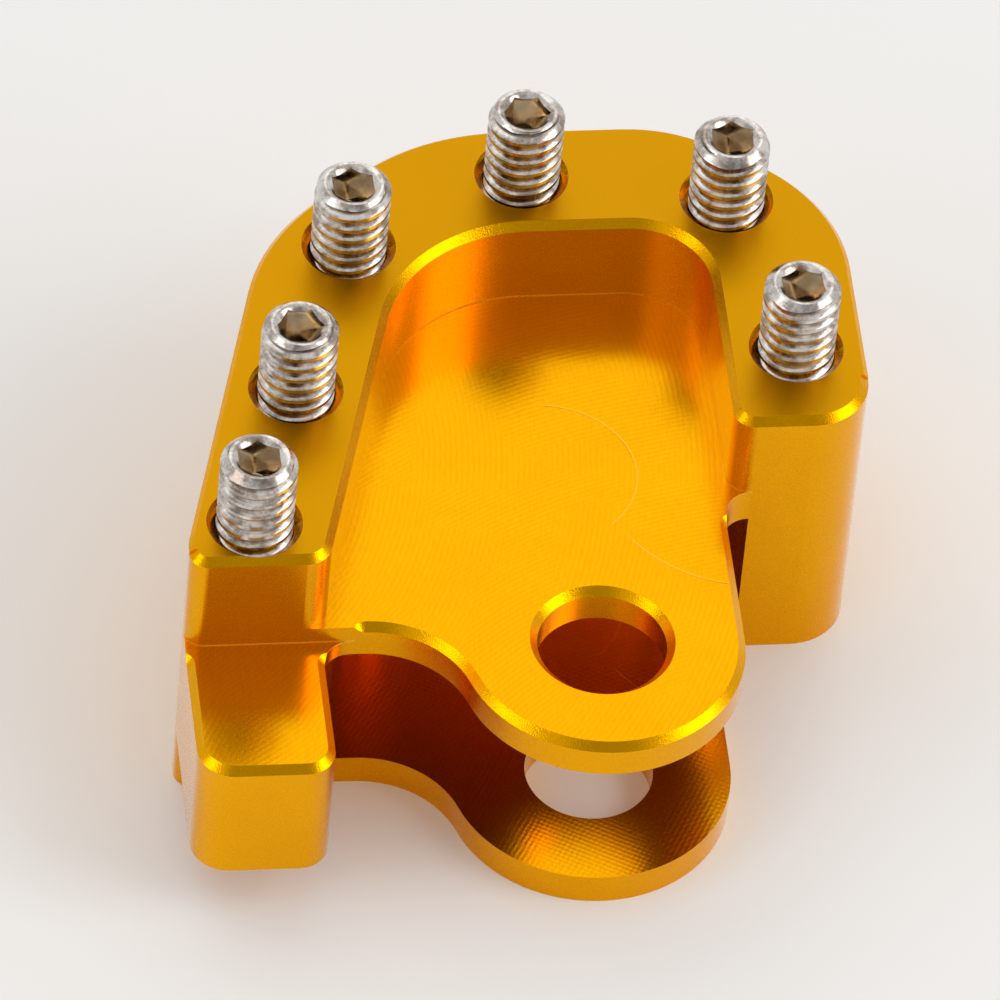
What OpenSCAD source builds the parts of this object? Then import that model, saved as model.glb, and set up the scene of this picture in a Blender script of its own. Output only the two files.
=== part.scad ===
// Brake pedal extension: a milled and anodised aluminium body, which a clevis and one bolt hold on the end
// of a pedal, with six set screws standing in its rim as grip studs. Millimetres. The origin is on the axis
// of the pivot bore, at the base. +X is to the right, -Y is the nose of the clevis, +Z is the tread.

/* [Clevis] */
// Thickness of the lower ear
lower_ear_t = 1.88; // [1.6:0.02:3]
// Gap between the ears, for an 8 mm pedal arm
gap = 8.32; // [7.5:0.02:10]
// Thickness of the upper ear, which is also the web under the pocket
upper_ear_t = 2.1; // [1.7:0.02:3]
// Diameter of the pivot bore, clearance for a 6 mm or 1/4 inch bolt
bore_d = 6.9; // [6:0.05:8]
// Radius of the ears' nose about the bore
nose_r = 7.62; // [7:0.02:7.8]
// Radius of the hollow beside the nose
scoop_r = 5.45; // [5:0.05:5.8]
// Fillet at the back of the notch, beside the front block
notch_r = 1.5; // [1:0.1:1.8]
// Fillet between the ears and the right leg
ear_fillet_r = 1.55; // [0.8:0.05:2.2]
// How far the slot runs behind the bore axis
slot_depth = 14; // [12:0.5:15]
// Distance from the bore axis to the slot's right wall
slot_right = 9.2; // [8.5:0.1:9.5]
// Radius of the slot's rear corners
slot_rear_r = 4.5; // [3.5:0.5:6]
// Radius where the slot's walls meet its floor and ceiling
slot_corner_r = 0.8; // [0.3:0.1:1.2]

/* [Pocket] */
// Depth of the pocket below the rim
pocket_depth = 5.48; // [4:0.02:7]
// Distance from the bore axis to the pocket's back wall
pocket_back = 25.05; // [24:0.05:25.5]
// Distance from the bore axis to the pocket's right wall
pocket_right = 7.9; // [7.8:0.05:8.3]
// Distance from the bore axis to the pocket's left wall, at the end of the left leg
pocket_left = 14.74; // [14.4:0.02:15.2]
// Lean of the pocket's left wall, in degrees
pocket_lean = 15.6; // [14:0.2:17]
// Radius of the pocket's rear left corner
pocket_left_r = 8.6; // [7:0.1:9.5]
// Radius of the pocket's rear right corner
pocket_right_r = 4.2; // [3.5:0.1:5]

/* [Rim] */
// Distance from the bore axis to the left side
left_reach = 22; // [21.8:0.05:23]
// Distance from the bore axis to the right side
right_reach = 15.4; // [15.2:0.05:16.5]
// Distance from the bore axis to the back
back_reach = 32.3; // [32:0.05:33.5]
// Lean of the left side, in degrees
side_lean = 15.1; // [13.5:0.1:16]
// Where the left side starts to lean, behind the bore axis
lean_start = 3.1; // [2.8:0.1:4]
// Radius of that bend
lean_r = 3; // [1:0.5:4]
// Where the left side would meet the rear left flank, behind the bore axis
left_flank_y = 25.1; // [24.5:0.1:26]
// Where the back would meet the rear left flank, left of the bore axis
left_flank_x = 6.74; // [5.5:0.02:7.5]
// Radius at both ends of the rear left flank
left_flank_r = 12.6; // [10:0.1:13]
// Where the right side would meet the rear right flank, behind the bore axis
right_flank_y = 26.66; // [26:0.02:28]
// Where the back would meet the rear right flank, right of the bore axis
right_flank_x = 6.74; // [6:0.02:8]
// Radius at the back of the rear right flank
right_back_r = 8.6; // [7:0.1:9]
// Radius at the side of the rear right flank
right_side_r = 9.6; // [8:0.1:10]

/* [Legs] */
// Front of the left leg, behind the bore axis
left_leg_y = 1.45; // [1.4:0.05:1.5]
// Front of the right leg, behind the bore axis
right_leg_y = 10.2; // [9.8:0.05:10.6]
// Outer corner radius of the left leg
left_outer_r = 1; // [0.6:0.1:1.3]
// Inner corner radius of the left leg
left_inner_r = 1.45; // [0.8:0.05:2]
// Inner corner radius of the right leg
right_inner_r = 1.2; // [0.8:0.1:1.6]
// Outer corner radius of the right leg
right_outer_r = 3.2; // [2:0.1:4]

/* [Front block] */
// Front of the block below the left leg, ahead of the bore axis
block_front = 7.46; // [7:0.02:7.6]
// Distance from the bore axis to the block's inner side
block_inner = 14.7; // [14.5:0.05:15.1]
// Outer corner radius of the block
block_outer_r = 2; // [1:0.1:2.5]
// Inner corner radius of the block
block_inner_r = 1.6; // [1:0.1:2.2]
// Height of the block's underside over the base
block_bottom = 3.35; // [3:0.05:4.5]
// Drop from the pocket floor to the ledge on top of the block
ledge_drop = 1.06; // [0.8:0.02:1.5]
// Length of the block's outer side, next to the leg, that has no chamfer
ledge_plain = 1.15; // [0.8:0.05:2]

/* [Edges] */
// Chamfer on the pocket rim, the leg ends, the ears and the ledge
edge = 0.42; // [0.2:0.02:0.5]
// Chamfer on the outer top edge
outer_edge = 0.25; // [0.1:0.01:0.4]
// Tip radius of the cutter that leaves the rounded ends of the chamfers
cutter_tip_r = 0.35; // [0.2:0.05:0.6]
// Length of the ears' right side, next to the fillet, that has no chamfer
plain_end = 0.7; // [0.5:0.1:2]

/* [Grip screws] */
// Crest diameter of the thread, number 8-32
screw_d = 4.12; // [3.9:0.02:4.4]
// Thread pitch
pitch = 0.794; // [0.6:0.002:0.9]
// Depth of the thread
thread_depth = 0.4; // [0.2:0.02:0.5]
// Length of a screw
screw_len = 12.7; // [11:0.1:13]
// Width across the flats of the hex socket
socket_w = 2.2; // [1.9:0.05:2.4]
// Depth of the hex socket
socket_depth = 2.6; // [1.5:0.1:4]
// Chamfer at the ends of a screw
screw_edge = 0.42; // [0.2:0.02:0.6]
// Clearance of the screws in their holes, on the radius
screw_clear = 0.05; // [0.03:0.01:0.1]
// Diameter of a hole's countersunk mouth
mouth_d = 5.1; // [4.7:0.05:5.4]
// Angle of a hole's drill point, in degrees
drill_angle = 118; // [90:1:140]
// Radius of the flat at the drill point's tip
drill_tip_r = 0.15; // [0.05:0.05:0.3]
// Free depth of a hole past the end of its screw
hole_spare = 1; // [0.5:0.1:1.2]
// Distance from the pocket wall to the line of screws
screw_inset = 3.85; // [3.75:0.05:4]
// How far the first screw is set further out
first_outset = 0.43; // [0.3:0.01:0.6]
// First screw, behind the bore axis
screw_1_y = 4.25; // [4.2:0.05:5]
// Second screw, behind the bore axis
screw_2_y = 13.7; // [12.5:0.1:14.5]
// Third screw, direction from the centre of the rear left corner, in degrees
screw_3_turn = 142.3; // [136:0.1:150]
// Fourth screw, left of the bore axis
screw_4_x = 1.62; // [0:0.02:4]
// Fifth screw, direction from the centre of the rear right corner, in degrees
screw_5_turn = 46.2; // [40:0.1:52]
// Sixth screw, behind the bore axis
screw_6_y = 15.55; // [14.5:0.05:17]

/* [Hidden] */
$fn = 96;
over = 0.05; // how far a cutter reaches past the surface that it cuts
shy = 0.005; // how much shallower straight chamfers are than round ones, for a clean step between them
graze = 0.0002; // how far round corners stand past the straights that they touch, for a clean crossing
lap = 0.1; // how far round corners and straight chamfers run over their neighbours
far = 40; // past the body on any side

floor_z = lower_ear_t + gap + upper_ear_t;
body_h = floor_z + pocket_depth;
ledge_z = floor_z - ledge_drop;
scoop_x = sqrt(pow(nose_r + scoop_r, 2) - pow(scoop_r - left_leg_y, 2));

// How far each screw stands above the rim, and how its socket is turned, in degrees
proud = [5.05, 5.05, 4.78, 4.95, 4.82, 5.02];
socket_turn = [0, 28, 2, 27, -3, 4];

// A corner of a path is [x, y, radius, chamfer round the corner, chamfer along the next straight].
// A path runs with the solid on its left.
left_wall_back = -pocket_left + (pocket_back - left_leg_y) * tan(pocket_lean);
rim_path = [
  [-left_reach, left_leg_y, left_outer_r, edge, edge],
  [-pocket_left, left_leg_y, left_inner_r, edge, edge],
  [left_wall_back, pocket_back, pocket_left_r, edge, edge],
  [pocket_right, pocket_back, pocket_right_r, edge, edge],
  [pocket_right, right_leg_y, right_inner_r, edge, edge],
  [right_reach, right_leg_y, right_outer_r, edge, outer_edge],
  [right_reach, right_flank_y, right_side_r, outer_edge, outer_edge],
  [right_flank_x, back_reach, right_back_r, outer_edge, outer_edge],
  [-left_flank_x, back_reach, left_flank_r, outer_edge, outer_edge],
  [-left_reach + (left_flank_y - lean_start) * tan(side_lean), left_flank_y, left_flank_r,
   outer_edge, outer_edge],
  [-left_reach, lean_start, lean_r, outer_edge, outer_edge],
];

// The nose and the scoop touch where the line between their centres crosses both arcs
touch_turn = atan2(left_leg_y - scoop_r, -scoop_x);
touch = nose_r * [cos(touch_turn), sin(touch_turn)];
touch_slope = -1 / tan(touch_turn);
scoop_corner = [touch.x + (left_leg_y - touch.y) / touch_slope, left_leg_y];
nose_corner = [nose_r, touch.y + (nose_r - touch.x) * touch_slope];
plan_path = [
  [-left_reach, left_leg_y, left_outer_r, 0, 0],
  [scoop_corner.x, scoop_corner.y, scoop_r, edge, 0],
  [nose_corner.x, nose_corner.y, nose_r, edge, 0],
  [nose_r, right_leg_y, ear_fillet_r, 0, 0],
  for (i = [5:10]) [rim_path[i].x, rim_path[i].y, rim_path[i][2], 0, 0],
];
ear_chamfer_end = [nose_r, right_leg_y - ear_fillet_r - plain_end];

// The block's back lies inside the leg, and its outer side is flush with the leg's
block_back = left_leg_y + left_outer_r + lap;
block_path = [
  [-left_reach, -block_front, block_outer_r, edge, edge],
  [-block_inner, -block_front, block_inner_r, edge, 0],
  [-block_inner, left_leg_y, notch_r, 0, 0],
  [-scoop_x - lap, left_leg_y, 0, 0, 0],
  [-scoop_x - lap, block_back, 0, 0, 0],
  [-left_reach, block_back, 0, 0, 0],
];
ledge_outer_end = [-left_reach, left_leg_y - ledge_plain];
ledge_inner_end = [-block_inner, left_leg_y - notch_r];

// Turn of a path at a corner, positive to the left, and the length from the corner to its tangent points
function at(path, i) = let (n = len(path)) [path[(i + n) % n].x, path[(i + n) % n].y];
function heading(a, b) = atan2(b.y - a.y, b.x - a.x);
function wrap(a) = a > 180 ? a - 360 : a <= -180 ? a + 360 : a;
function before(path, i) = heading(at(path, i - 1), at(path, i));
function after(path, i) = heading(at(path, i), at(path, i + 1));
function turn(path, i) = wrap(after(path, i) - before(path, i));
function reach(path, i) = path[i % len(path)][2] * tan(abs(turn(path, i)) / 2);
function way(a) = [cos(a), sin(a)];
function entry(path, i) = at(path, i) - reach(path, i) * way(before(path, i));
function exit(path, i) = at(path, i) + reach(path, i) * way(after(path, i));
function side(path, i) = sign(turn(path, i));
function centre(path, i) = entry(path, i) + side(path, i) * path[i % len(path)][2]
                                            * way(before(path, i) + 90);

// The sector between a corner's arc and its centre
module corner_sector(path, i) {
  intersection() {
    polygon([entry(path, i) - lap * way(before(path, i)), at(path, i),
             exit(path, i) + lap * way(after(path, i)), centre(path, i)]);
    translate(centre(path, i)) circle(r = path[i][2] + graze);
  }
}

// The area inside a path, with true arcs at its corners
module inside(path) {
  corners = [0:len(path) - 1];
  difference() {
    union() {
      polygon([for (i = corners) each path[i][2] > 0 ? [entry(path, i), exit(path, i)] : [at(path, i)]]);
      for (i = corners) if (path[i][2] > 0 && side(path, i) > 0) corner_sector(path, i);
    }
    for (i = corners) if (path[i][2] > 0 && side(path, i) < 0) corner_sector(path, i);
  }
}

// The section that a 45 degree chamfer takes off, where the solid lies on the positive side of x = 0
module chamfer_section(c) polygon([[-over, -c - over], [c + over, over], [-over, over]]);

// The chamfer along a straight top edge at height z, from one point to the other
module straight_chamfer(from, to, c, z)
  translate([from.x, from.y, z]) rotate([0, 0, heading(from, to)])
    rotate([90, 0, 90]) linear_extrude(norm(to - from)) chamfer_section(c);

// The chamfers along a path's top edge at height z: cones round its corners, prisms along its straights
module chamfers(path, z) {
  for (i = [0:len(path) - 1]) {
    from = entry(path, i) - centre(path, i);
    if (path[i][3] > 0)
      translate([centre(path, i).x, centre(path, i).y, z])
        rotate([0, 0, atan2(from.y, from.x) + min(0, turn(path, i))])
          rotate_extrude(angle = abs(turn(path, i)))
            translate([path[i][2], 0]) mirror([side(path, i) > 0 ? 1 : 0, 0])
              chamfer_section(path[i][3]);
    if (path[i][4] > 0)
      straight_chamfer(exit(path, i) - lap * way(after(path, i)),
                       entry(path, i + 1) + lap * way(after(path, i)), path[i][4] - shy, z);
  }
}

// Where the cutter lifts off at the end of a chamfer, with its axis at p
module cutter_mark(p, z) translate([p.x, p.y, z - edge - over])
  cylinder(r1 = cutter_tip_r - over, r2 = cutter_tip_r + edge + over, h = edge + 2 * over);

// The chamfer round the upper ear, from the scoop to the plain end of its right side. A short straight
// chamfer clears the place where the round ones of the scoop and the nose touch.
module ear_chamfer() {
  off = cutter_tip_r + 2 * shy;
  along = lap * way(touch_turn + 90);
  chamfers(plan_path, floor_z);
  straight_chamfer(touch - along, touch + along, edge - shy, floor_z);
  straight_chamfer([nose_r, -lap], ear_chamfer_end, edge - shy, floor_z);
  cutter_mark([-scoop_x, left_leg_y - off], floor_z);
  cutter_mark(ear_chamfer_end + [off, 0], floor_z);
}

// The chamfer round the ledge on top of the block
module ledge_chamfer() {
  off = cutter_tip_r + 2 * shy;
  chamfers(block_path, ledge_z);
  straight_chamfer(ledge_outer_end, entry(block_path, 0) - [0, lap], edge - shy, ledge_z);
  straight_chamfer(exit(block_path, 1) - [0, lap], ledge_inner_end, edge - shy, ledge_z);
  cutter_mark(ledge_outer_end - [off, 0], ledge_z);
  cutter_mark(ledge_inner_end + [off, 0], ledge_z);
}

// The slot between the ears. Its left wall leans as the left leg does.
slot_path = [
  [-block_inner, -far, 0, 0, 0],
  [slot_right, -far, 0, 0, 0],
  [slot_right, slot_depth, slot_rear_r, 0, 0],
  [-block_inner + (slot_depth - left_leg_y) * tan(side_lean), slot_depth, slot_rear_r, 0, 0],
  [-block_inner, left_leg_y, 0, 0, 0],
];

module slot() {
  difference() {
    translate([0, 0, lower_ear_t]) linear_extrude(gap) inside(slot_path);
    // the corner between the right wall and the ceiling, and the one at the floor
    for (up = [0, 1])
      translate([slot_right, -far, up ? lower_ear_t + gap : lower_ear_t]) mirror([0, 0, up])
        rotate([-90, 0, 0]) linear_extrude(far + slot_depth - slot_rear_r) difference() {
          translate([-slot_corner_r, -slot_corner_r]) square(slot_corner_r + over);
          translate([-slot_corner_r, -slot_corner_r]) circle(r = slot_corner_r);
        }
  }
}

module bore() {
  translate([0, 0, -over]) cylinder(d = bore_d, h = floor_z + 2 * over);
  translate([0, 0, floor_z - edge - over])
    cylinder(r1 = bore_d / 2 - over, r2 = bore_d / 2 + edge + over, h = edge + 2 * over);
}

// Where the screws stand: a fixed distance outside the pocket's wall
function left_wall(y) = -pocket_left + (y - left_leg_y) * tan(pocket_lean);
function left_of_wall(y, d) = [left_wall(y) - d / cos(pocket_lean), y];
screw_at = [
  left_of_wall(screw_1_y, screw_inset + first_outset),
  left_of_wall(screw_2_y, screw_inset),
  centre(rim_path, 2) + (pocket_left_r + screw_inset) * way(screw_3_turn),
  [-screw_4_x, pocket_back + screw_inset],
  centre(rim_path, 3) + (pocket_right_r + screw_inset) * way(screw_5_turn),
  [pocket_right + screw_inset, screw_6_y],
];
hole_r = screw_d / 2 + screw_clear;

// A blind tapped hole with a countersunk mouth and a drill point
module screw_hole(i) {
  depth = screw_len - proud[i] + hole_spare;
  point = (hole_r - drill_tip_r) / tan(drill_angle / 2);
  sink = mouth_d / 2 - hole_r;
  translate([screw_at[i].x, screw_at[i].y, body_h]) {
    translate([0, 0, -depth]) cylinder(r = hole_r, h = depth + over);
    translate([0, 0, -depth - point]) cylinder(r1 = drill_tip_r, r2 = hole_r, h = point);
    translate([0, 0, -sink]) cylinder(r1 = hole_r, r2 = hole_r + sink + over, h = sink + over);
  }
}

// The body: one milled block
module body() {
  color("goldenrod") difference() {
    union() {
      linear_extrude(body_h) inside(rim_path);
      linear_extrude(floor_z) inside(plan_path);
      translate([0, 0, block_bottom]) linear_extrude(ledge_z - block_bottom) inside(block_path);
    }
    slot();
    bore();
    chamfers(rim_path, body_h);
    ear_chamfer();
    ledge_chamfer();
    for (i = [0:5]) screw_hole(i);
  }
}

// One set screw, with its thread drawn as rings: a flat tip, the thread, and a hex socket in its top
crest = screw_d / 2;
threads = floor((screw_len - 2 * screw_edge) / pitch);
first_thread = (screw_len - threads * pitch) / 2;
// One groove of the thread: shares of the thread's depth and of its pitch
groove = [[0, 0.2], [1, 0.5], [1, 0.6], [0, 0.9]];
screw_profile = [
  [0, 0], [crest - screw_edge, 0], [crest, screw_edge],
  for (k = [0:threads - 1], s = groove)
    [crest - s[0] * thread_depth, first_thread + (k + s[1]) * pitch],
  [crest, screw_len - screw_edge], [crest - screw_edge, screw_len], [0, screw_len],
];

module grip_screw(i) {
  socket_r = socket_w / 2 / cos(30);
  translate([screw_at[i].x, screw_at[i].y, body_h + proud[i] - screw_len])
    color("silver") difference() {
      rotate_extrude() polygon(screw_profile);
      translate([0, 0, screw_len - socket_depth]) rotate([0, 0, socket_turn[i]])
        cylinder(r = socket_r, h = socket_depth + over, $fn = 6);
      translate([0, 0, screw_len + over]) mirror([0, 0, 1])
        cylinder(r1 = socket_r + over, r2 = 0, h = socket_r + over);
    }
}

body();
for (i = [0:5]) grip_screw(i);
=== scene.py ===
import bpy
import bmesh
import math
import numpy as np
from mathutils import Matrix, Vector


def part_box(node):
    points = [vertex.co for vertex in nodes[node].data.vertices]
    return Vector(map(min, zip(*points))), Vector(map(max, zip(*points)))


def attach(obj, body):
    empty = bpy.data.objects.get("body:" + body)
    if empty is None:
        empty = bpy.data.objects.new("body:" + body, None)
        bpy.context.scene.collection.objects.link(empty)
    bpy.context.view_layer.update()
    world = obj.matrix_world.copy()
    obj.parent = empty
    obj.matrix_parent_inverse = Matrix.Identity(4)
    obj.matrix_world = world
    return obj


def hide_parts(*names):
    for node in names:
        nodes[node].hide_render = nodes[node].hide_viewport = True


# Brake pedal extension: a gold anodised body with six stainless set screws as grip studs.
# The frame is in metres. +X is to the right, -Y is the nose of the clevis, +Z is the tread.
mm = 0.001
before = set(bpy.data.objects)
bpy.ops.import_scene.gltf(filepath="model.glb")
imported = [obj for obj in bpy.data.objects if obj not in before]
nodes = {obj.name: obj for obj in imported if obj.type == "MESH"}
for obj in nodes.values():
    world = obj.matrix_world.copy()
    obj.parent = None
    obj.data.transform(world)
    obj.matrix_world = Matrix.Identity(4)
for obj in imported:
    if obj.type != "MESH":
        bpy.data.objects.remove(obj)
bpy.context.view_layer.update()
scene = bpy.context.scene
print("frame loaded:", sorted(nodes))

# Camera: a long lens, looking down from the front left with the object leaning a little to the right
cameraView = {
    "elevation": 47.23,       # degrees above the table
    "turn": -10.2,            # degrees, minus to the left of the object's front
    "roll": 5.652,            # degrees that the object's upright leans to the right in the frame
    "lensMm": 507.2,
    "sensorMm": 36,
    "placeMm": (-94.7, -491.7, 563.6),
    "clipMm": (50, 20000),
}


# Camera axes: backward is (sin t cos e, -cos t cos e, sin e), right is level, and the roll turns right and up
def addCamera(view):
    e, t, roll = (math.radians(view[k]) for k in ("elevation", "turn", "roll"))
    backward = Vector((math.sin(t) * math.cos(e), -math.cos(t) * math.cos(e), math.sin(e)))
    level = Vector((math.cos(t), math.sin(t), 0))
    upright = backward.cross(level)
    right = math.cos(roll) * level + math.sin(roll) * upright
    up = math.cos(roll) * upright - math.sin(roll) * level
    camera = bpy.data.objects.new("camera", bpy.data.cameras.new("camera"))
    scene.collection.objects.link(camera)
    camera.matrix_world = Matrix((right, up, backward)).transposed().to_4x4()
    camera.location = Vector(view["placeMm"]) * mm
    camera.data.sensor_fit = "HORIZONTAL"
    camera.data.sensor_width = view["sensorMm"]
    camera.data.lens = view["lensMm"]
    camera.data.clip_start, camera.data.clip_end = (c * mm for c in view["clipMm"])
    scene.camera = camera


addCamera(cameraView)
scene.view_settings.view_transform = "Standard"
print("camera set")


# sRGB hex to linear: below 0.04045 divide by 12.92, above it ((c + 0.055) / 1.055) to the power 2.4
def linear(hexColour):
    c = np.array([int(hexColour[i:i + 2], 16) for i in (1, 3, 5)]) / 255
    c = np.where(c <= 0.04045, c / 12.92, ((c + 0.055) / 1.055) ** 2.4)
    return (*c.tolist(), 1.0)


# Adds one node with its settings. Plain values fill the inputs in use in their order, and named ones go to
# the input of that name, with an underline for a space. A node given as a value is linked from its first
# output in use.
def add(tree, kind, settings, *values, **named):
    node = tree.nodes.new("ShaderNode" + kind)
    for key, value in settings.items():
        setattr(node, key, value)
    filled = list(zip((socket for socket in node.inputs if socket.enabled), values))
    filled += [(node.inputs[key.replace("_", " ")], value) for key, value in named.items()]
    for socket, value in filled:
        if isinstance(value, bpy.types.Node):
            value = next(output for output in value.outputs if output.enabled)
        if isinstance(value, bpy.types.NodeSocket):
            tree.links.new(value, socket)
        else:
            socket.default_value = value
    return node


# Settings that many nodes share
plain = {}
plus, minus, times = {"operation": "ADD"}, {"operation": "SUBTRACT"}, {"operation": "MULTIPLY"}
timesPlus = {"operation": "MULTIPLY_ADD"}       # the first times the second, plus the third
unsigned, largest = {"operation": "ABSOLUTE"}, {"operation": "MAXIMUM"}
above, below = {"operation": "GREATER_THAN"}, {"operation": "LESS_THAN"}
length, unit, dot = {"operation": "LENGTH"}, {"operation": "NORMALIZE"}, {"operation": "DOT_PRODUCT"}
smooth = {"interpolation_type": "SMOOTHSTEP"}   # 0 to 1 while the first goes from the second to the third
colours = {"data_type": "RGBA"}
noiseSpread = (0.3, 0.7)                        # most of a noise lies between these


def newMaterial(name):
    material = bpy.data.materials.new(name)
    material.use_nodes = True
    material.node_tree.nodes.clear()
    return material, material.node_tree


# A sine wave's repeat is 2 pi / 20 of the Wave node's unit, so its scale is 0.314 over the repeat in metres
def waveScale(repeatMm):
    return 2 * math.pi / 20 / (repeatMm * mm)


# Anodised aluminium: cut on a mill and dyed gold under a clear oxide. It gives a mirror softened by fine
# cutter marks, a deeper orange where it mirrors itself, and a pale sheen at low angles. The real marks and
# grain are finer: they are drawn as coarse as they need to be to show. A pale line along the walls' feet is a
# painted highlight.
goldFinish = {
    "dye": "#fdb502",
    "dyeDeep": "#e69b01",
    "rimDye": "#d49503",           # the rim's top, cut with a coarse face mill, took the dye darker
    "burnishAndFootHighlight": "#ffcf4a",          # pale colour: a painted highlight along the walls' feet, and a burnished tone where the cutter rubbed on its lines
    "leastDye": 0.2,               # share of the bright dye, to which patches, brushing and arcs add
    "patchDye": 0.5,
    "brushDye": 0.25,
    "arcDye": -0.25,
    "paintedFootHighlight": 0.8,            # share of the pale colour at the walls' feet, a painted highlight
    "lineBurnish": 0.25,           # and on the cutter's lines

    "roughness": (0.17, 0.23),
    "rimRoughness": 0.16,          # added on the rim's top
    "wallRoughness": 0.09,         # added on the walls
    "footRoughness": 0.35,         # added at the walls' feet
    "sheenFrom": (0.55, 0.95),     # facing values between which the clear oxide starts to shine
    "oxideRoughness": 0.12,
    "oxideIor": 1.4,

    "flatFrom": (0.90, 0.97),      # how far up the normal points, from no flat face to one
    "wallFrom": (0.12, 0.03),      # and from no wall to one
    "rimFromMm": (17.5, 17.6),     # heights, from no rim's top to the rim's top
    "pocketFromMm": (13, 12.8),    # and the pocket's floor
    "lowerEarFromMm": (3, 2.5),    # and the lower ear

    "bumpMm": 0.0016,              # height of the arcs, and the others' heights as multiples of it
    "bumpStrength": 0.5,
    "hatchHeight": 1.6,
    "streakHeight": 0.8,
    "facetHeight": 14.0,
    "lineHeight": -8.0,
    "grainHeight": 0.25,

    "arcMm": 0.30,                 # repeat of the cutter's arcs on flat faces
    "arcShiftMm": ((34, -16, 0), (-12, 22, 0)),   # from the arcs' middles to the bore
    "arcWander": 1.2,
    "arcPatchMm": 7,               # size of the patches in which one set of arcs covers the other
    "arcPatchFrom": (0.42, 0.58),
    "streakMm": 0.16,              # width of the streaks up the walls
    "facetMm": 0.07,               # width of the facets across the chamfers
    "uprightStretch": 0.03,        # width of both over their length
    "hatchMm": 0.27,               # repeat of the crossed marks on the lower ear
    "hatchTurns": (0.5, 2.1),      # radians
    "hatchWander": 0.8,
    "grainMm": 0.09,
    "brushMm": 0.10,               # width of the brushing along the length, seen in the dye only
    "brushStretch": 0.12,          # its width over its length
    "patchMm": 5,                  # size of the soft patches in the dye
    "footMm": 0.045,               # half width of the line where a wall meets a floor
    "lineMm": (0.09, 0.02),        # distances from a cutter's line at which it starts and is full
    "lineFade": 0.08,              # change of the cosine over which its ends fade
}
# Where a wall's foot gets a painted highlight, a pale line: the floor's height, and the walls' places as
# limits on x, on y, on x less a share of y, because the pocket's left wall leans, and on the distance from
# the bore's axis
wallFeet = [
    {"heightMm": 12.30, "xMm": (-16, 9.2), "yMm": (1.6, 25.6),
     "lean": 0.279, "fromMm": -15.7, "clearMm": 7.4},
    {"heightMm": 11.24, "xMm": (-22.2, -13.0), "yMm": (-0.6, 2.7),
     "lean": 0.0, "fromMm": -30, "clearMm": 0},
]
# Where the cutter was set down on the pocket's floor: circles, and the part of each that shows, in degrees
cutterLines = [
    {"centreMm": (-1.81, 12.02), "radiusMm": 4.97, "towards": 18, "within": 70},
    {"centreMm": (8.92, 11.36), "radiusMm": 7.84, "towards": 237, "within": 30},
]


# The distance from a circle's centre less its radius is near zero on the line. Its part shows where the
# direction from the centre is near the middle one.
def cutterLine(tree, finish, flatPlace, line):
    centre = [c * mm for c in line["centreMm"]] + [0]
    spoke = add(tree, "VectorMath", minus, flatPlace, centre)
    off = add(tree, "Math", minus, add(tree, "VectorMath", length, spoke), line["radiusMm"] * mm)
    middle, within = math.radians(line["towards"]), math.cos(math.radians(line["within"]))
    near = add(tree, "VectorMath", dot, add(tree, "VectorMath", unit, spoke),
               (math.cos(middle), math.sin(middle), 0))
    onLine = add(tree, "MapRange", smooth, add(tree, "Math", unsigned, off),
                 *(d * mm for d in finish["lineMm"]))
    shown = add(tree, "MapRange", smooth, near, within, within + finish["lineFade"])
    return add(tree, "Math", times, onLine, shown)


# The product of all the limits is 1 near the floor's height and inside the walls' places, where the painted
# highlight goes
def wallFoot(tree, finish, axes, flatPlace, foot):
    off = add(tree, "Math", unsigned, add(tree, "Math", minus, axes["Z"], foot["heightMm"] * mm))
    line = add(tree, "MapRange", smooth, off, 2 * finish["footMm"] * mm, finish["footMm"] * mm)
    leaning = add(tree, "Math", timesPlus, axes["Y"], -foot["lean"], axes["X"])
    limits = [(above, leaning, foot["fromMm"]),
              (above, add(tree, "VectorMath", length, flatPlace), foot["clearMm"])]
    for axis, key in (("X", "xMm"), ("Y", "yMm")):
        limits += [(above, axes[axis], foot[key][0]), (below, axes[axis], foot[key][1])]
    for kind, value, limit in limits:
        line = add(tree, "Math", times, line, add(tree, "Math", kind, value, limit * mm))
    return line


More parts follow.
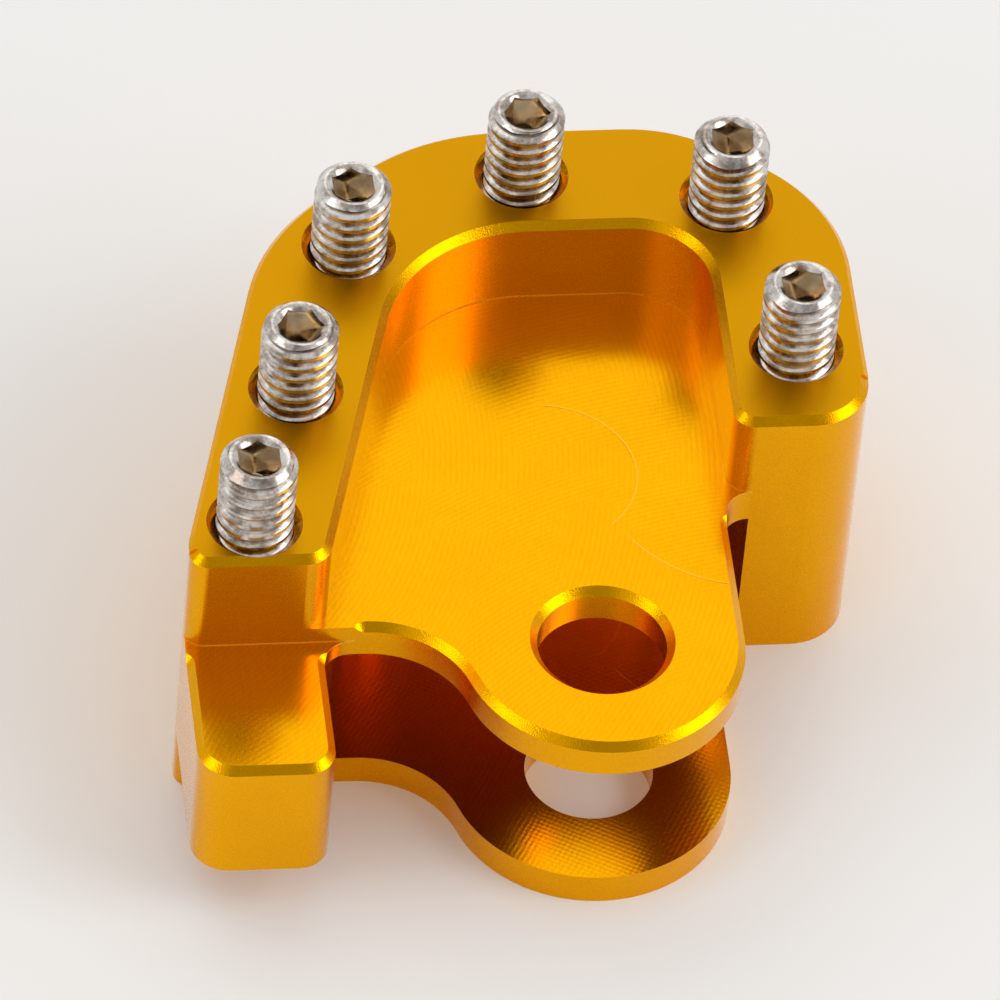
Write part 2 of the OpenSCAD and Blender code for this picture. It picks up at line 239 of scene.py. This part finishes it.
# Adds the cutter's marks: arcs on flat faces, crossed marks on the lower ear, streaks up the walls and facets
# across the chamfers
def cutterMarks(tree, finish, where, height, flatFace, wall):
    arcs = [add(tree, "TexWave", {"wave_type": "RINGS", "rings_direction": "Z"},
                Vector=add(tree, "Mapping", plain, where, Location=[s * mm for s in shift]),
                Scale=waveScale(finish["arcMm"]), Distortion=finish["arcWander"], Detail=1.0,
                Detail_Scale=0.4).outputs["Fac"] for shift in finish["arcShiftMm"]]
    patch = add(tree, "TexNoise", plain, where, Scale=1 / (finish["arcPatchMm"] * mm), Detail=1.0)
    arc = add(tree, "Mix", {"data_type": "FLOAT"},
              add(tree, "MapRange", smooth, patch, *finish["arcPatchFrom"]), *arcs)
    upright = add(tree, "Mapping", plain, where, Scale=(1, 1, finish["uprightStretch"]))
    streaks = add(tree, "TexNoise", plain, upright, Scale=1 / (finish["streakMm"] * mm), Detail=2.0,
                  Roughness=0.6)
    facets = add(tree, "TexNoise", plain, upright, Scale=1 / (finish["facetMm"] * mm), Detail=1.0,
                 Roughness=0.5)
    chamfer = add(tree, "Math", {"operation": "SUBTRACT", "use_clamp": True},
                  add(tree, "Math", minus, 1.0, flatFace), wall)
    crossed = [add(tree, "TexWave", {"wave_type": "BANDS", "bands_direction": "X"},
                   Vector=add(tree, "Mapping", plain, where, Rotation=(0, 0, turn)),
                   Scale=waveScale(finish["hatchMm"]),
                   Distortion=finish["hatchWander"]).outputs["Fac"] for turn in finish["hatchTurns"]]
    hatch = add(tree, "Math", times, add(tree, "Math", plus, *crossed),
                add(tree, "MapRange", smooth, height, *(h * mm for h in finish["lowerEarFromMm"])))
    onFace = add(tree, "Math", times, flatFace,
                 add(tree, "Math", timesPlus, hatch, finish["hatchHeight"], arc))
    onWall = add(tree, "Math", times, streaks, add(tree, "Math", times, wall, finish["streakHeight"]))
    onChamfer = add(tree, "Math", times, facets, add(tree, "Math", times, chamfer, finish["facetHeight"]))
    marks = add(tree, "Math", plus, add(tree, "Math", plus, onFace, onWall), onChamfer)
    return marks, add(tree, "Math", times, arc, flatFace)


def goldMaterial(finish):
    material, tree = newMaterial("goldAnodisedMilledAluminium")
    place = add(tree, "TexCoord", plain).outputs
    where = place["Object"]
    axes = add(tree, "SeparateXYZ", plain, where).outputs
    up = add(tree, "Math", unsigned, add(tree, "SeparateXYZ", plain, place["Normal"]).outputs["Z"])
    flatFace = add(tree, "MapRange", smooth, up, *finish["flatFrom"])
    wall = add(tree, "MapRange", smooth, up, *finish["wallFrom"])
    grain = add(tree, "TexNoise", plain, where, Scale=1 / (finish["grainMm"] * mm), Detail=2.0, Roughness=0.5)
    brushed = add(tree, "TexNoise", plain,
                  add(tree, "Mapping", plain, where, Scale=(1, finish["brushStretch"], 1)),
                  Scale=1 / (finish["brushMm"] * mm), Detail=3.0)
    patches = add(tree, "TexNoise", plain, where, Scale=1 / (finish["patchMm"] * mm), Detail=3.0)
    marks, arc = cutterMarks(tree, finish, where, axes["Z"], flatFace, wall)

    flatPlace = add(tree, "VectorMath", times, where, (1, 1, 0))
    rim, pocket = (add(tree, "Math", times, flatFace,
                       add(tree, "MapRange", smooth, axes["Z"], *(h * mm for h in finish[key])))
                   for key in ("rimFromMm", "pocketFromMm"))
    lines = [cutterLine(tree, finish, flatPlace, line) for line in cutterLines]
    lines = add(tree, "Math", times, pocket, add(tree, "Math", largest, *lines))
    feet = [wallFoot(tree, finish, axes, flatPlace, foot) for foot in wallFeet]
    feet = add(tree, "Math", times, wall, add(tree, "Math", largest, *feet))
    facing = add(tree, "LayerWeight", plain, Blend=0.5).outputs["Facing"]

    marks = add(tree, "Math", timesPlus, grain, finish["grainHeight"], marks)
    bump = add(tree, "Bump", plain, Strength=finish["bumpStrength"], Distance=finish["bumpMm"] * mm,
               Height=add(tree, "Math", timesPlus, lines, finish["lineHeight"], marks))
    # the dye shows the cutter's arcs and the brushing on flat faces, and soft patches everywhere
    depth = add(tree, "Math", timesPlus, patches, finish["patchDye"], finish["leastDye"])
    depth = add(tree, "Math", timesPlus, arc, finish["arcDye"], depth)
    depth = add(tree, "Math", {"operation": "MULTIPLY_ADD", "use_clamp": True},
                add(tree, "MapRange", smooth, brushed, *noiseSpread), finish["brushDye"], depth)
    # bright: a painted highlight at the walls' feet, and a burnished tone on the cutter's lines
    bright = add(tree, "Math", largest, add(tree, "Math", times, feet, finish["paintedFootHighlight"]),
                 add(tree, "Math", times, lines, finish["lineBurnish"]))
    colour = add(tree, "Mix", colours, depth, linear(finish["dyeDeep"]), linear(finish["dye"]))
    colour = add(tree, "Mix", colours, rim, colour, linear(finish["rimDye"]))
    colour = add(tree, "Mix", colours, bright, colour, linear(finish["burnishAndFootHighlight"]))
    rough = add(tree, "MapRange", plain, grain, *noiseSpread, *finish["roughness"])
    for share, key in ((rim, "rimRoughness"), (wall, "wallRoughness"), (feet, "footRoughness")):
        rough = add(tree, "Math", timesPlus, share, finish[key], rough)
    shader = add(tree, "BsdfPrincipled", plain, colour, 1.0, rough, Normal=bump,
                 Coat_Weight=add(tree, "MapRange", smooth, facing, *finish["sheenFrom"]),
                 Coat_Roughness=finish["oxideRoughness"], Coat_IOR=finish["oxideIor"])
    add(tree, "OutputMaterial", plain, shader)
    return material


body = nodes["body"]
body.data.materials.clear()
body.data.materials.append(goldMaterial(goldFinish))
print("body finished")

# Stainless steel: rolled and turned, bright, with painted shade in patches down in the roots of the thread,
# and a pressed socket painted beige as a painted reflection of the gold body. It gives a sharp mirror that
# patches of handling make duller.
steelFinish = {
    "steel": "#ebe5df",
    "dull": "#a3958a",
    "paintedRootShade": "#54402f",
    # socket: the walls' colour, paler and beige, a painted reflection of the gold body
    "socket": "#f0e0c4",
    "roughness": (0.10, 0.27),
    "socketRoughness": -0.06,      # added in the socket
    "patchMm": 1.2,                # size of the dull patches
    "dullFrom": (0.35, 0.65),      # noise values, from dull to bright
    "rootShadeFrom": (0.6, 1.0),       # depths in the thread, from no painted shade to full painted shade
    "rootShadePatchFrom": (0.2, 0.6),  # and noise values
    "pressedFrom": (-0.2, -0.8),   # values of the surface's mark, from turned to pressed
    "turnMarkMm": 0.06,
    "turnStretch": 0.15,           # a turning mark's height over its length
    "bumpMm": 0.003,
    "bumpStrength": 0.4,
}


def steelMaterial(finish):
    material, tree = newMaterial("brightTurnedStainlessSteel")
    where = add(tree, "TexCoord", plain).outputs["Object"]
    surface = add(tree, "Attribute", {"attribute_name": "threadRoot"}).outputs["Fac"]
    patches = add(tree, "TexNoise", plain, where, Scale=1 / (finish["patchMm"] * mm), Detail=4.0,
                  Roughness=0.7)
    around = add(tree, "Mapping", plain, where, Scale=(finish["turnStretch"], finish["turnStretch"], 1))
    marks = add(tree, "TexNoise", plain, around, Scale=1 / (finish["turnMarkMm"] * mm), Detail=2.0)
    # painted shade, in patches, deep in the thread's roots and in the drill's cone
    rootShade = add(tree, "Math", times, add(tree, "MapRange", smooth, surface, *finish["rootShadeFrom"]),
                add(tree, "MapRange", smooth, patches, *finish["rootShadePatchFrom"]))
    pressedSocketAndReflection = add(tree, "MapRange", smooth, surface, *finish["pressedFrom"])
    colour = add(tree, "Mix", colours, add(tree, "MapRange", smooth, patches, *finish["dullFrom"]),
                 linear(finish["dull"]), linear(finish["steel"]))
    colour = add(tree, "Mix", colours, rootShade, colour, linear(finish["paintedRootShade"]))
    # the socket's walls take the beige painted reflection; their lower roughness is the real pressed finish
    colour = add(tree, "Mix", colours, pressedSocketAndReflection, colour, linear(finish["socket"]))
    rough = add(tree, "MapRange", plain, patches, *noiseSpread, *finish["roughness"])
    rough = add(tree, "Math", timesPlus, pressedSocketAndReflection, finish["socketRoughness"], rough)
    bump = add(tree, "Bump", plain, Strength=finish["bumpStrength"], Distance=finish["bumpMm"] * mm,
               Height=marks)
    shader = add(tree, "BsdfPrincipled", plain, colour, 1.0, rough, Normal=bump)
    add(tree, "OutputMaterial", plain, shader)
    return material


steel = steelMaterial(steelFinish)

# Set screw: number 8-32, 12.7 mm long, with a hex socket in a countersunk top. Millimetres.
screwShape = {
    "crestR": 2.06, "pitch": 0.794, "threadDepth": 0.40, "length": 12.7,
    "crestHalf": 0.15,       # half of the crest's flat, as a share of the pitch
    "flank": 0.28,           # and the flank
    "flankBend": 0.4,        # share of a smooth step in the flank, beside a straight line
    "rowSteps": (0, .05, .0825, .14, .22, .30, .36, .405, .45, .5, .55, .595, .64, .70, .78, .86, .9175, .95),
    "topR": 1.60,            # outer edge of the top's flat ring
    "sinkR": 1.42,           # inner edge of that ring, where the countersink starts
    "sinkSlope": 0.75,       # fall of the countersink per length inwards
    "underR": (0.0, 0.8, 1.58),                              # rows of the underside
    "ringRows": ((1.57, -0.004), (1.51, 0.0), (1.44, -0.01)),   # radius, and height over the length
    "sinkRows": (0.66, 0.33, 0.0),                           # shares of the way out from the socket
    "socketW": 2.2, "socketDepth": 2.6,
    "socketRows": (0.02, 0.3, 0.6, 1.0),                     # shares of the way down
    "drillRows": (0.9, 0.5, 0.0), "drillDip": 0.35,          # the drill's cone in the socket's floor
    # a mark over 0.6 gets the painted root shade, so the drill's cone at the socket's floor is painted darker
    # too; -1 marks the socket's walls
    "surfaceMarks": {"end": 0.3, "ring": 0.0, "sink": 0.2, "socket": -1.0, "drill": 0.8},
    "columns": 96,
    "sharpFrom": 38,         # degrees
    "socketTurn": (0, 28, 2, 27, -3, 4),
    "threadTurn": (0, 140, 75, 210, 300, 35),
}
weldAt, thinAt = 2e-7, 1e-7   # metres


# A surface from rings of points: rings has one row per ring and one column per direction, and the last
# column meets the first. Rows run from the underside to the socket's floor.
def ringMesh(name, rings, surface, sharpFrom):
    rows, columns = rings.shape[:2]
    i, j = np.meshgrid(np.arange(rows - 1), np.arange(columns - 1), indexing="ij")
    corner = (i * columns + j).ravel()
    faces = np.stack([corner, corner + 1, corner + columns + 1, corner + columns], 1)
    mesh = bpy.data.meshes.new(name)
    mesh.from_pydata(rings.reshape(-1, 3).tolist(), [], faces.tolist())
    attribute = mesh.attributes.new("threadRoot", "FLOAT", "POINT")
    attribute.data.foreach_set("value", surface.ravel().astype(np.float32))
    work = bmesh.new()
    work.from_mesh(mesh)
    bmesh.ops.remove_doubles(work, verts=work.verts, dist=weldAt)
    bmesh.ops.dissolve_degenerate(work, edges=work.edges, dist=thinAt)
    bmesh.ops.recalc_face_normals(work, faces=work.faces)
    work.to_mesh(mesh)
    work.free()
    mesh.polygons.foreach_set("use_smooth", np.ones(len(mesh.polygons), bool))
    mesh.set_sharp_from_angle(angle=math.radians(sharpFrom))
    piece = bpy.data.objects.new(name, mesh)
    scene.collection.objects.link(piece)
    return piece


# Height z of a thread row is (s + a / turn) times the pitch, at s pitches up and angle a, so rows follow the
# helix. Its depth is 0 on the rolled crest, three tenths of the pitch wide, and grows along the flanks to the
# root. The end chamfers are cones of 45 degrees. The hex is half its width over the cosine of the angle from
# the middle of the nearest flat, and its top edge lies on the countersink.
def screwPiece(name, shape, socketTurn, threadTurn):
    low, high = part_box(name)
    centre = (low + high) / 2
    tall, pitch, topR, sinkR = (shape[k] for k in ("length", "pitch", "topR", "sinkR"))
    mark = shape["surfaceMarks"]
    angle = np.linspace(0, 2 * np.pi, shape["columns"] + 1) + math.radians(socketTurn)
    share = (np.linspace(0, 1, shape["columns"] + 1) + threadTurn / 360)[None, :]
    pitches = np.arange(-2, int(tall / pitch) + 3)
    s = (pitches[:, None] + np.array(shape["rowSteps"])[None, :]).ravel()[:, None]
    z = np.clip((s + share) * pitch, 0, tall)
    off = np.abs(((z / pitch - share) % 1 + 0.5) % 1 - 0.5)   # from the crest's middle, in pitches
    depth = np.clip((off - shape["crestHalf"]) / shape["flank"], 0, 1)
    depth = (1 - shape["flankBend"]) * depth + shape["flankBend"] * depth * depth * (3 - 2 * depth)
    cone = topR + np.minimum(z, tall - z)
    threadR = shape["crestR"] - shape["threadDepth"] * depth
    around = np.ones_like(angle)[None, :]
    flatAngle = (angle - math.radians(socketTurn) + np.pi / 6) % (np.pi / 3) - np.pi / 6
    hexR = (shape["socketW"] / 2 / np.cos(flatAngle))[None, :]
    hexTop = tall - (sinkR - hexR) * shape["sinkSlope"]
    floorZ = tall - shape["socketDepth"]
    rows = [(q * around, 0 * around, mark["end"]) for q in shape["underR"]]
    rows += [(np.minimum(threadR, cone), z, np.where(threadR < cone, depth, mark["end"]))]
    rows += [(q * around, (tall + rise) * around, mark["ring"]) for q, rise in shape["ringRows"]]
    rows += [(hexR + (sinkR - hexR) * k, tall + (hexTop - tall) * (1 - k), mark["sink"])
             for k in shape["sinkRows"]]
    rows += [(hexR, hexTop + (floorZ - hexTop) * k, mark["socket"]) for k in shape["socketRows"]]
    rows += [(hexR * k, (floorZ - shape["drillDip"] * (1 - k)) * around, mark["drill"])
             for k in shape["drillRows"]]
    radius, up, surface = (np.concatenate([row[k] * np.ones_like(row[0]) for row in rows]) for k in range(3))
    rings = np.stack([radius * np.cos(angle), radius * np.sin(angle), up], -1) * mm
    rings += np.array([centre.x, centre.y, low.z])
    piece = ringMesh(name + "_threaded", rings, surface, shape["sharpFrom"])
    piece.data.materials.append(steel)
    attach(piece, "root")
    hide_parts(name)


for number, turns in enumerate(zip(screwShape["socketTurn"], screwShape["threadTurn"]), 1):
    screwPiece("grip_screw_%d" % number, screwShape, *turns)
print("set screws built")

# Floor: one matt pale sheet, well past the view
studioFloor = {"halfSizeMm": 3000, "colour": "#f7f6f4", "roughness": 0.9, "specular": 0.2}


def addFloor(choice):
    half = choice["halfSizeMm"] * mm
    corners = [(-half, -half, 0), (half, -half, 0), (half, half, 0), (-half, half, 0)]
    mesh = bpy.data.meshes.new("studioFloor")
    mesh.from_pydata(corners, [], [(0, 1, 2, 3)])
    floor = bpy.data.objects.new("studioFloor", mesh)
    scene.collection.objects.link(floor)
    material, tree = newMaterial("paleMattBoard")
    shader = add(tree, "BsdfPrincipled", plain, linear(choice["colour"]), Roughness=choice["roughness"],
                 Specular_IOR_Level=choice["specular"])
    add(tree, "OutputMaterial", plain, shader)
    mesh.materials.append(material)


addFloor(studioFloor)

# Light: a pale room, dim behind the camera, with soft boxes to the right, the left and above the back.
# A box's level is how bright it looks, as a multiple of the white level.
softBoxes = {
    "right": {"placeMm": (400, -130, 300), "sizeMm": (300, 430), "level": 2.0},
    "left": {"placeMm": (-430, -120, 235), "sizeMm": (260, 190), "level": 1.7},
    "back": {"placeMm": (-90, 290, 480), "sizeMm": (640, 360), "level": 0.52},
}
aimMm = (0, 12, 10)   # the middle of the object, which every box faces
# The dim parts of the room: a direction, a level, and the degrees from it between which the room is all dim
# and not dim
room = {
    "colour": "#ffffff",
    "bright": 0.72,
    "dimParts": [
        {"towards": (0.05, -0.72, 0.69), "level": 0.39, "inner": 14, "outer": 30},
        {"towards": (-0.67, -0.12, 0.734), "level": 0.42, "inner": 9, "outer": 19},
    ],
}


# A lamp's watts are its level times pi times its area in square metres
def addLights(boxes):
    for name, box in boxes.items():
        light = bpy.data.lights.new(name, "AREA")
        light.shape = "RECTANGLE"
        light.size, light.size_y = (side * mm for side in box["sizeMm"])
        light.energy = box["level"] * math.pi * light.size * light.size_y
        lamp = bpy.data.objects.new(name, light)
        scene.collection.objects.link(lamp)
        lamp.location = Vector(box["placeMm"]) * mm
        lamp.rotation_euler = (Vector(aimMm) * mm - lamp.location).to_track_quat("-Z", "Y").to_euler()


# The room's brightness falls from bright to dim where the direction comes near a dim part: the cosine of the
# angle between them is compared with the cosines of the two limits
def addRoom(choice):
    world = bpy.data.worlds.new("paleRoom")
    scene.world = world
    world.use_nodes = True
    tree = world.node_tree
    tree.nodes.clear()
    towards = add(tree, "TexCoord", plain).outputs["Generated"]
    level = choice["bright"]
    for part in choice["dimParts"]:
        near = add(tree, "VectorMath", dot, towards, Vector(part["towards"]).normalized())
        share = add(tree, "MapRange", smooth, near,
                    *(math.cos(math.radians(part[key])) for key in ("outer", "inner")))
        level = add(tree, "Math", timesPlus, share, part["level"] - choice["bright"], level)
    light = add(tree, "Background", plain, linear(choice["colour"]), level)
    add(tree, "OutputWorld", plain, light)


addLights(softBoxes)
addRoom(room)
print("floor and lights set")
